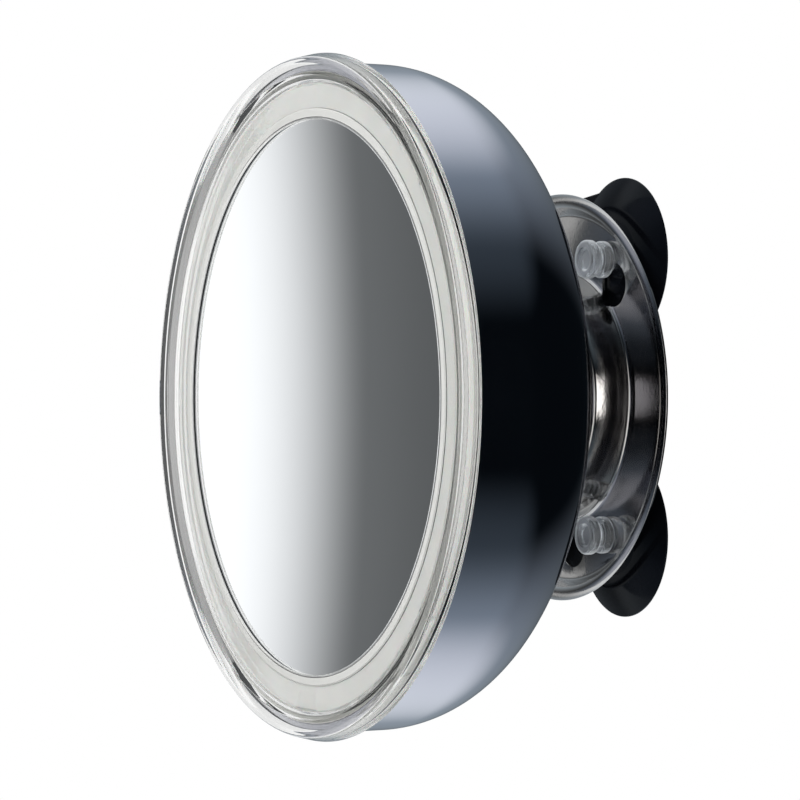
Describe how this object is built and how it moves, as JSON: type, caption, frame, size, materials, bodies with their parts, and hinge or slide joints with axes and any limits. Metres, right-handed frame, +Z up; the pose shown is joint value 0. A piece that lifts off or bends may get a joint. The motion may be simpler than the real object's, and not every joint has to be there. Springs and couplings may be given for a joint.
{
  "type": "lighted suction cup mirror",
  "caption": "Round lighted magnifying mirror in a domed battery housing, on a ball joint and a stamped wall plate held by suction cups.",
  "frame": {"origin": "the middle of the plane that the lips of the suction cups lie in, on the axis of the wall plate and the mirror at rest", "axes": "+Y into the wall, -Y the way the mirror faces, +Z up"},
  "size_m": [0.2, 0.0972, 0.2],
  "materials": {
    "clear_acrylic": "polished clear",
    "white_plastic": "satin white",
    "mirror": "silvered, polished",
    "black_seal": "matt",
    "grey_plastic": "moulded",
    "steel": "zinc plated",
    "circuit_board": "lacquered",
    "lamp_resin": "cast resin",
    "black_ceramic": "matt",
    "dark_chrome_shell": "dark metallised, high gloss",
    "dark_chrome_button": "high gloss",
    "black_plastic": "moulded",
    "cell_can": "gloss wrap",
    "lead_sleeve": "satin",
    "chrome_plate": "polished",
    "nylon": "moulded",
    "cup_rubber": "high gloss",
    "clear_vinyl": "clear, soft"
  },
  "bodies": {
    "wall_plate": {"base_plate": "chrome_plate", "socket_housing": "steel", "rear_seat": "nylon", "tension_washer": "steel", "socket_cap": "steel", "socket_rivets": "steel"},
    "pivot_liner": {"socket_liner": "nylon"},
    "ball_stud": {"ball_stud": "chrome_plate", "neck_collar": "nylon", "spin_washer": "steel", "stud_nut": "steel"},
    "head": {"light_ring": "clear_acrylic", "diffuser_ring": "white_plastic", "mirror_glass": "mirror", "mirror_gasket": "black_seal", "mirror_pad": "black_seal", "mirror_tray": "grey_plastic", "tray_screws": "steel", "led_board": "circuit_board", "leds": "lamp_resin", "resistors": "black_ceramic", "rear_shell": "dark_chrome_shell", "pivot_plate": "steel", "pivot_plate_screws": "steel", "battery_box": "black_plastic", "battery_cells": "cell_can", "contact_plates": "steel", "contact_springs": "steel", "door_pin": "steel", "switch_body": "black_plastic", "switch_board": "circuit_board", "switch_screws": "steel", "battery_lead": "lead_sleeve", "lamp_lead": "lead_sleeve"},
    "power_button": {"power_button": "dark_chrome_button", "switch_plunger": "white_plastic"},
    "battery_door": {"battery_door": "dark_chrome_shell"},
    "cup_upper": {"suction_cup_upper": "cup_rubber", "cup_plug_upper": "clear_vinyl"},
    "cup_lower": {"suction_cup_lower": "cup_rubber", "cup_plug_lower": "clear_vinyl"},
    "cup_side": {"suction_cup_side": "cup_rubber", "cup_plug_side": "clear_vinyl"}
  },
  "joints": [
    {"name": "head_pan", "type": "hinge", "parent": "wall_plate", "child": "pivot_liner", "pos_m": [0, -0.0142, 0], "axis": [0, 0, 1], "range_deg": [-10, 10]},
    {"name": "head_tilt", "type": "hinge", "parent": "pivot_liner", "child": "ball_stud", "pos_m": [0, -0.0142, 0], "axis": [-1, 0, 0], "range_deg": [-10, 10]},
    {"name": "head_spin", "type": "hinge", "parent": "ball_stud", "child": "head", "pos_m": [0, -0.0142, 0], "axis": [0, 1, 0], "continuous": true},
    {"name": "button_press", "type": "slide", "parent": "head", "child": "power_button", "axis": [1, 0, 0], "range_m": [0, 0.0012], "stiffness_N_per_m": 800, "springref_m": -0.0004},
    {"name": "door_swing", "type": "hinge", "parent": "head", "child": "battery_door", "pos_m": [0, -0.03548, -0.0519], "axis": [1, 0, 0], "range_deg": [0, 45]},
    {"name": "cup_upper_slide", "type": "slide", "parent": "wall_plate", "child": "cup_upper", "axis": [0.4566, 0, -0.8897], "range_m": [0, 0.00854]},
    {"name": "cup_lower_slide", "type": "slide", "parent": "wall_plate", "child": "cup_lower", "axis": [-0.9796, 0, -0.2009], "range_m": [0, 0.01991]},
    {"name": "cup_side_slide", "type": "slide", "parent": "wall_plate", "child": "cup_side", "axis": [0.1789, 0, -0.9839], "range_m": [0, 0.01118]}
  ]
}
